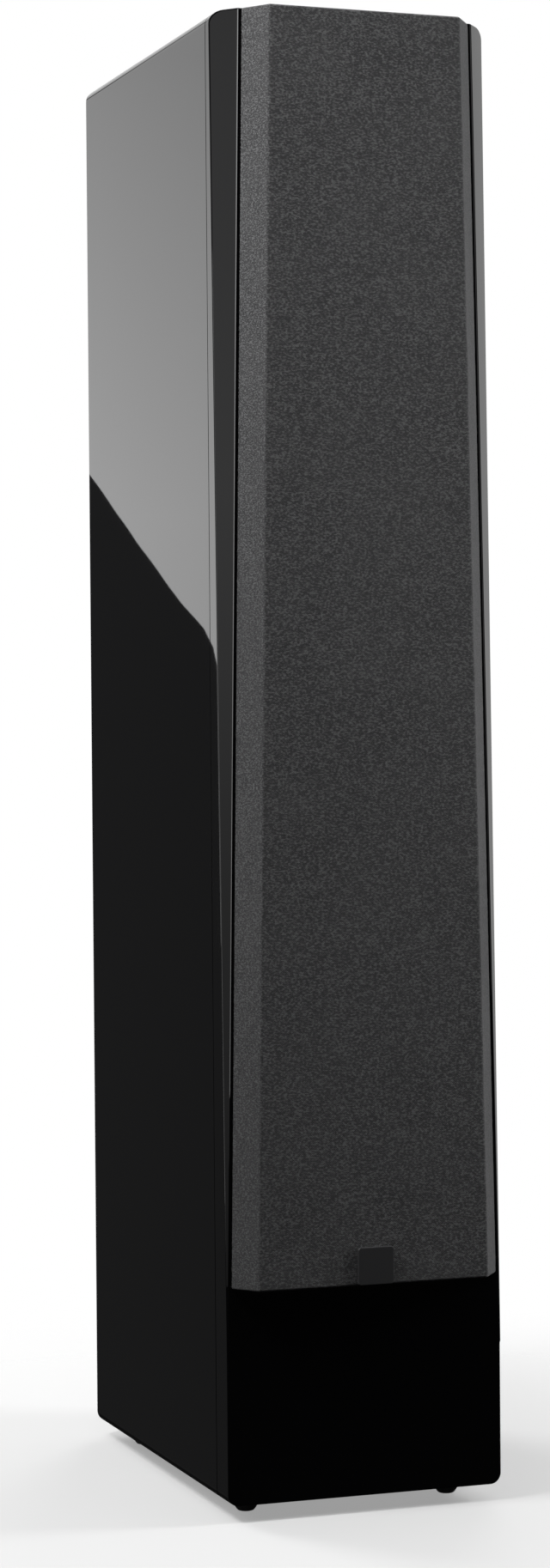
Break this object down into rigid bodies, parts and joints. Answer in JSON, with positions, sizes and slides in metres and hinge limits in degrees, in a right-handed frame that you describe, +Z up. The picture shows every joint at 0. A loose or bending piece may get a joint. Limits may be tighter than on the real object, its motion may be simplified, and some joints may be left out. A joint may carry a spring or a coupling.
{
  "type": "floorstanding speaker",
  "caption": "Slim floorstanding loudspeaker: gloss black cabinet with tapered front facets, pull-off cloth grille, sprung cones, rear bass ports and screw terminals.",
  "frame": {"origin": "on the floor under the feet, at the centre of the bounding box in X and Y", "axes": "+Z up, the grille faces -Y, +X is the right side as seen from the front"},
  "size_m": [0.203, 0.3486, 1.038],
  "materials": {
    "lacquer": "high gloss black lacquer over fibreboard",
    "vinyl": "textured black vinyl wrap over fibreboard",
    "board": "bare medium-density fibreboard",
    "plastic": "moulded black",
    "cloth": "fine open-weave black polyester",
    "gloss": "polished black",
    "rubber": "moulded black rubber",
    "basket": "satin black composite",
    "surround": "butyl rubber",
    "cone": "mineral-filled polymer, satin",
    "spider": "resin-treated cotton",
    "magnet": "ferrite ring between blackened steel plates",
    "silk": "coated silk",
    "copper": "enamelled copper winding",
    "port": "moulded black, fine texture",
    "gold": "gold-plated brass",
    "circuit": "green solder resist",
    "film": "yellow film sleeve"
  },
  "bodies": {
    "cabinet": {"cabinet_wrap": "lacquer", "front_baffle": "lacquer", "rear_panel": "vinyl", "shelf_upper": "board", "shelf_middle": "board", "shelf_lower": "board", "grille_socket_top_left": "rubber", "grille_socket_top_right": "rubber", "grille_socket_middle_left": "rubber", "grille_socket_middle_right": "rubber", "grille_socket_bottom_left": "rubber", "grille_socket_bottom_right": "rubber", "woofer_upper_basket": "basket", "woofer_upper_surround": "surround", "woofer_upper_spider": "spider", "woofer_upper_magnet": "magnet", "woofer_middle_basket": "basket", "woofer_middle_surround": "surround", "woofer_middle_spider": "spider", "woofer_middle_magnet": "magnet", "woofer_lower_basket": "basket", "woofer_lower_surround": "surround", "woofer_lower_spider": "spider", "woofer_lower_magnet": "magnet", "midrange_basket": "basket", "midrange_surround": "surround", "midrange_spider": "spider", "midrange_magnet": "magnet", "tweeter_faceplate": "basket", "tweeter_magnet": "magnet", "port_upper": "port", "port_middle": "port", "port_lower": "port", "terminal_cup": "port", "binding_post_negative": "gold", "binding_post_positive": "gold", "crossover_board": "circuit", "crossover_inductor": "copper", "crossover_capacitor": "film", "foot_front_left": "rubber", "foot_front_right": "rubber", "foot_rear_left": "rubber", "foot_rear_right": "rubber"},
    "grille": {"grille_frame": "plastic", "grille_cloth": "cloth", "badge": "gloss"},
    "woofer_upper_diaphragm": {"woofer_upper_cone": "cone", "woofer_upper_dust_cap": "cone"},
    "woofer_middle_diaphragm": {"woofer_middle_cone": "cone", "woofer_middle_dust_cap": "cone"},
    "woofer_lower_diaphragm": {"woofer_lower_cone": "cone", "woofer_lower_dust_cap": "cone"},
    "midrange_diaphragm": {"midrange_cone": "cone", "midrange_dust_cap": "cone"},
    "tweeter_diaphragm": {"tweeter_dome": "silk", "tweeter_voice_coil": "copper"},
    "clamp_washer_negative": {"clamp_washer_negative": "gold"},
    "binding_knob_negative": {"binding_knob_negative": "gold"},
    "clamp_washer_positive": {"clamp_washer_positive": "gold"},
    "binding_knob_positive": {"binding_knob_positive": "gold"}
  },
  "joints": [
    {"name": "grille_pull", "type": "slide", "parent": "cabinet", "child": "grille", "axis": [0, -1, 0], "range_m": [0, 0.08]},
    {"name": "woofer_upper_travel", "type": "slide", "parent": "cabinet", "child": "woofer_upper_diaphragm", "axis": [0, -1, 0], "range_m": [-0.006, 0.006], "stiffness_N_per_m": 1100},
    {"name": "woofer_middle_travel", "type": "slide", "parent": "cabinet", "child": "woofer_middle_diaphragm", "axis": [0, -1, 0], "range_m": [-0.006, 0.006], "stiffness_N_per_m": 1100},
    {"name": "woofer_lower_travel", "type": "slide", "parent": "cabinet", "child": "woofer_lower_diaphragm", "axis": [0, -1, 0], "range_m": [-0.006, 0.006], "stiffness_N_per_m": 1100},
    {"name": "midrange_travel", "type": "slide", "parent": "cabinet", "child": "midrange_diaphragm", "axis": [0, -1, 0], "range_m": [-0.002, 0.002], "stiffness_N_per_m": 1800},
    {"name": "tweeter_travel", "type": "slide", "parent": "cabinet", "child": "tweeter_diaphragm", "axis": [0, -1, 0], "range_m": [-0.0003, 0.0003], "stiffness_N_per_m": 3000},
    {"name": "clamp_washer_negative_slide", "type": "slide", "parent": "cabinet", "child": "clamp_washer_negative", "axis": [0, 1, 0], "range_m": [0, 0.006]},
    {"name": "binding_knob_negative_turn", "type": "hinge", "parent": "clamp_washer_negative", "child": "binding_knob_negative", "pos_m": [-0.017, 0.16395, 0.124], "axis": [0, 1, 0], "range_deg": [0, 2160]},
    {"name": "clamp_washer_positive_slide", "type": "slide", "parent": "cabinet", "child": "clamp_washer_positive", "axis": [0, 1, 0], "range_m": [0, 0.006]},
    {"name": "binding_knob_positive_turn", "type": "hinge", "parent": "clamp_washer_positive", "child": "binding_knob_positive", "pos_m": [0.017, 0.16395, 0.124], "axis": [0, 1, 0], "range_deg": [0, 2160]}
  ],
  "couplings": [
    {"joint": "binding_knob_negative_turn", "follows": "clamp_washer_negative_slide", "rad_per_m": 6283.2},
    {"joint": "binding_knob_positive_turn", "follows": "clamp_washer_positive_slide", "rad_per_m": 6283.2}
  ]
}
